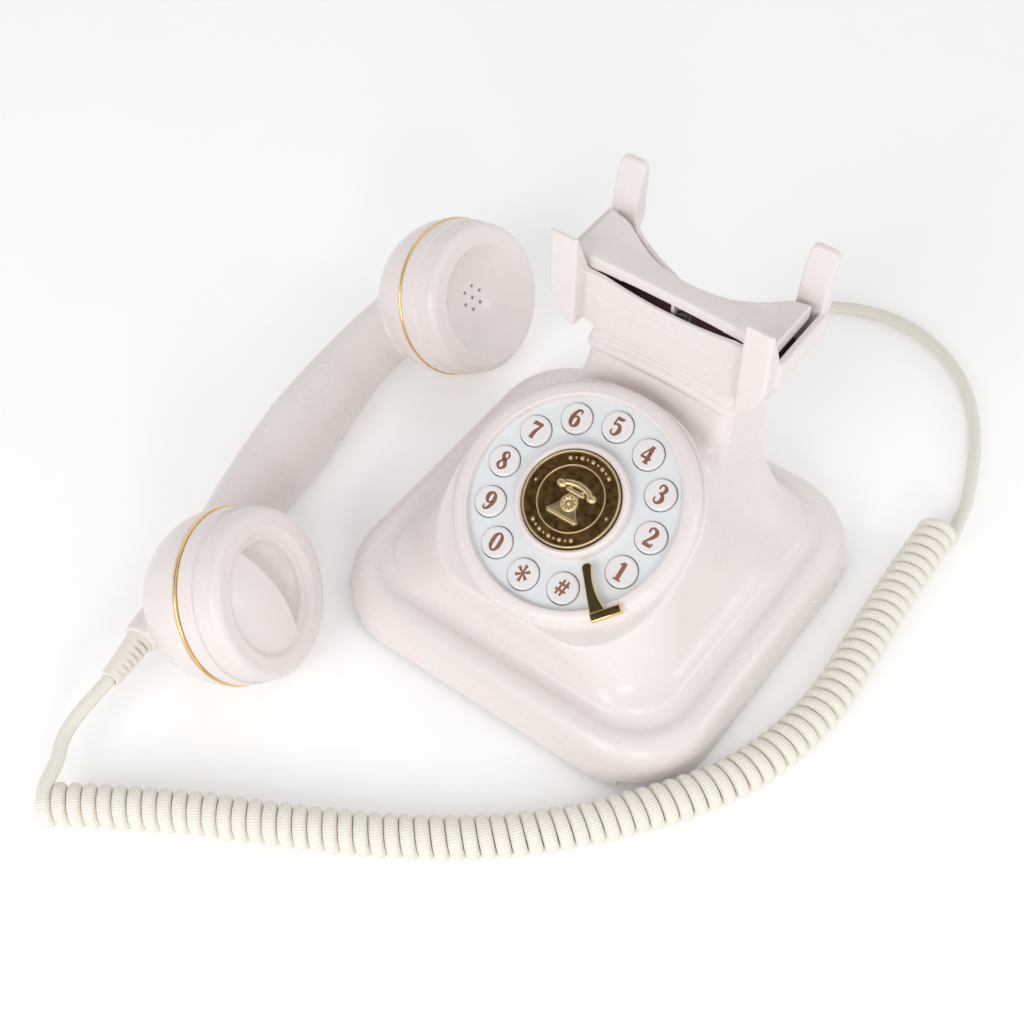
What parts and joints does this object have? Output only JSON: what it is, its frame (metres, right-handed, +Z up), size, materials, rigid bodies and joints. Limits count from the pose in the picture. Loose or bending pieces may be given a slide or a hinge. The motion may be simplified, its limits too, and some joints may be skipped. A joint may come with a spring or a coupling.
{
  "type": "retro push-button desk telephone",
  "caption": "Retro desk telephone in rotary style with round push keys, four-prong cradle, curly cord and a separate handset lying beside it.",
  "frame": {"origin": "on the desk surface, under the centre of the base's footprint", "axes": "+Z up, -Y towards the user at the front of the base, +X to the phone's right as the user sees it"},
  "size_m": [0.2443, 0.3749, 0.132],
  "materials": {
    "shell": "warm pinkish white ABS, satin gloss",
    "dial_white": "cool white dial plastic, fine satin",
    "key_cap": "white key caps, satin gloss",
    "gold": "polished gold plating",
    "bronze": "antiqued bronze relief with polished rims",
    "rubber": "soft black rubber",
    "grey_rubber": "translucent grey silicone",
    "steel": "zinc plated steel",
    "board": "green glass-epoxy board",
    "dark_plastic": "black moulded plastic",
    "cord_fabric": "cream braided cotton over the cord",
    "relief": "cream flexible PVC",
    "clear_plug": "translucent plug plastic"
  },
  "bodies": {
    "phone": {"base_housing": "shell", "base_plate": "dark_plastic", "rubber_feet": "rubber", "base_screws": "steel", "ballast_plate": "steel", "ringer_speaker": "steel", "main_board": "board", "handset_jack": "dark_plastic", "line_jack": "dark_plastic", "ringer_switch": "steel", "dial_mode_switch": "steel", "dial_bezel": "shell", "dial_plate": "dial_white", "key_mat": "grey_rubber", "key_board": "board", "key_board_screws": "steel", "medallion_collar": "shell", "medallion_pin": "steel", "finger_stop": "gold", "cradle_yoke": "shell", "hook_switch": "dark_plastic", "saddle_spring": "steel", "cord_plug": "clear_plug", "cord_base_lead": "cord_fabric", "curly_cord": "cord_fabric"},
    "handset": {"handset_body": "shell", "handle_rear_cover": "shell", "handle_screws": "steel", "screw_plugs": "shell", "ear_ring": "gold", "mouth_ring": "gold", "ear_cap": "shell", "mouth_cap": "shell", "receiver_capsule": "steel", "microphone_capsule": "steel", "handset_weight": "steel", "strain_relief": "relief", "cord_handset_lead": "cord_fabric"},
    "saddle": {"cradle_saddle": "shell"},
    "medallion": {"medallion_button": "bronze"},
    "ringer_knob": {"ringer_switch_knob": "dark_plastic"},
    "dial_mode_knob": {"dial_mode_switch_knob": "dark_plastic"},
    "key_1": {"button_1": "key_cap"},
    "key_2": {"button_2": "key_cap"},
    "key_3": {"button_3": "key_cap"},
    "key_4": {"button_4": "key_cap"},
    "key_5": {"button_5": "key_cap"},
    "key_6": {"button_6": "key_cap"},
    "key_7": {"button_7": "key_cap"},
    "key_8": {"button_8": "key_cap"},
    "key_9": {"button_9": "key_cap"},
    "key_0": {"button_0": "key_cap"},
    "key_star": {"button_star": "key_cap"},
    "key_hash": {"button_hash": "key_cap"}
  },
  "joints": [
    {"name": "key_1_press", "type": "slide", "parent": "phone", "child": "key_1", "axis": [0, 0.4695, -0.8829], "range_m": [0, 0.0012], "stiffness_N_per_m": 500, "springref_m": -0.0006},
    {"name": "key_2_press", "type": "slide", "parent": "phone", "child": "key_2", "axis": [0, 0.4695, -0.8829], "range_m": [0, 0.0012], "stiffness_N_per_m": 500, "springref_m": -0.0006},
    {"name": "key_3_press", "type": "slide", "parent": "phone", "child": "key_3", "axis": [0, 0.4695, -0.8829], "range_m": [0, 0.0012], "stiffness_N_per_m": 500, "springref_m": -0.0006},
    {"name": "key_4_press", "type": "slide", "parent": "phone", "child": "key_4", "axis": [0, 0.4695, -0.8829], "range_m": [0, 0.0012], "stiffness_N_per_m": 500, "springref_m": -0.0006},
    {"name": "key_5_press", "type": "slide", "parent": "phone", "child": "key_5", "axis": [0, 0.4695, -0.8829], "range_m": [0, 0.0012], "stiffness_N_per_m": 500, "springref_m": -0.0006},
    {"name": "key_6_press", "type": "slide", "parent": "phone", "child": "key_6", "axis": [0, 0.4695, -0.8829], "range_m": [0, 0.0012], "stiffness_N_per_m": 500, "springref_m": -0.0006},
    {"name": "key_7_press", "type": "slide", "parent": "phone", "child": "key_7", "axis": [0, 0.4695, -0.8829], "range_m": [0, 0.0012], "stiffness_N_per_m": 500, "springref_m": -0.0006},
    {"name": "key_8_press", "type": "slide", "parent": "phone", "child": "key_8", "axis": [0, 0.4695, -0.8829], "range_m": [0, 0.0012], "stiffness_N_per_m": 500, "springref_m": -0.0006},
    {"name": "key_9_press", "type": "slide", "parent": "phone", "child": "key_9", "axis": [0, 0.4695, -0.8829], "range_m": [0, 0.0012], "stiffness_N_per_m": 500, "springref_m": -0.0006},
    {"name": "key_0_press", "type": "slide", "parent": "phone", "child": "key_0", "axis": [0, 0.4695, -0.8829], "range_m": [0, 0.0012], "stiffness_N_per_m": 500, "springref_m": -0.0006},
    {"name": "key_star_press", "type": "slide", "parent": "phone", "child": "key_star", "axis": [0, 0.4695, -0.8829], "range_m": [0, 0.0012], "stiffness_N_per_m": 500, "springref_m": -0.0006},
    {"name": "key_hash_press", "type": "slide", "parent": "phone", "child": "key_hash", "axis": [0, 0.4695, -0.8829], "range_m": [0, 0.0012], "stiffness_N_per_m": 500, "springref_m": -0.0006},
    {"name": "medallion_rock", "type": "hinge", "parent": "phone", "child": "medallion", "pos_m": [0, -0.01687, 0.05606], "axis": [1, 0, 0], "range_deg": [-1.5, 1.5], "stiffness_Nm_per_rad": 0.4},
    {"name": "saddle_press", "type": "slide", "parent": "phone", "child": "saddle", "axis": [0, 0, -1], "range_m": [0, 0.0045], "stiffness_N_per_m": 160, "springref_m": -0.004, "deforming": ["saddle_spring"]},
    {"name": "ringer_switch_slide", "type": "slide", "parent": "phone", "child": "ringer_knob", "axis": [1, 0, 0], "range_m": [0, 0.004]},
    {"name": "dial_mode_switch_slide", "type": "slide", "parent": "phone", "child": "dial_mode_knob", "axis": [1, 0, 0], "range_m": [0, 0.004]},
    {"name": "handset_lift", "type": "slide", "parent": "phone", "child": "handset", "axis": [0, 0, 1], "range_m": [0, 0.03]}
  ]
}
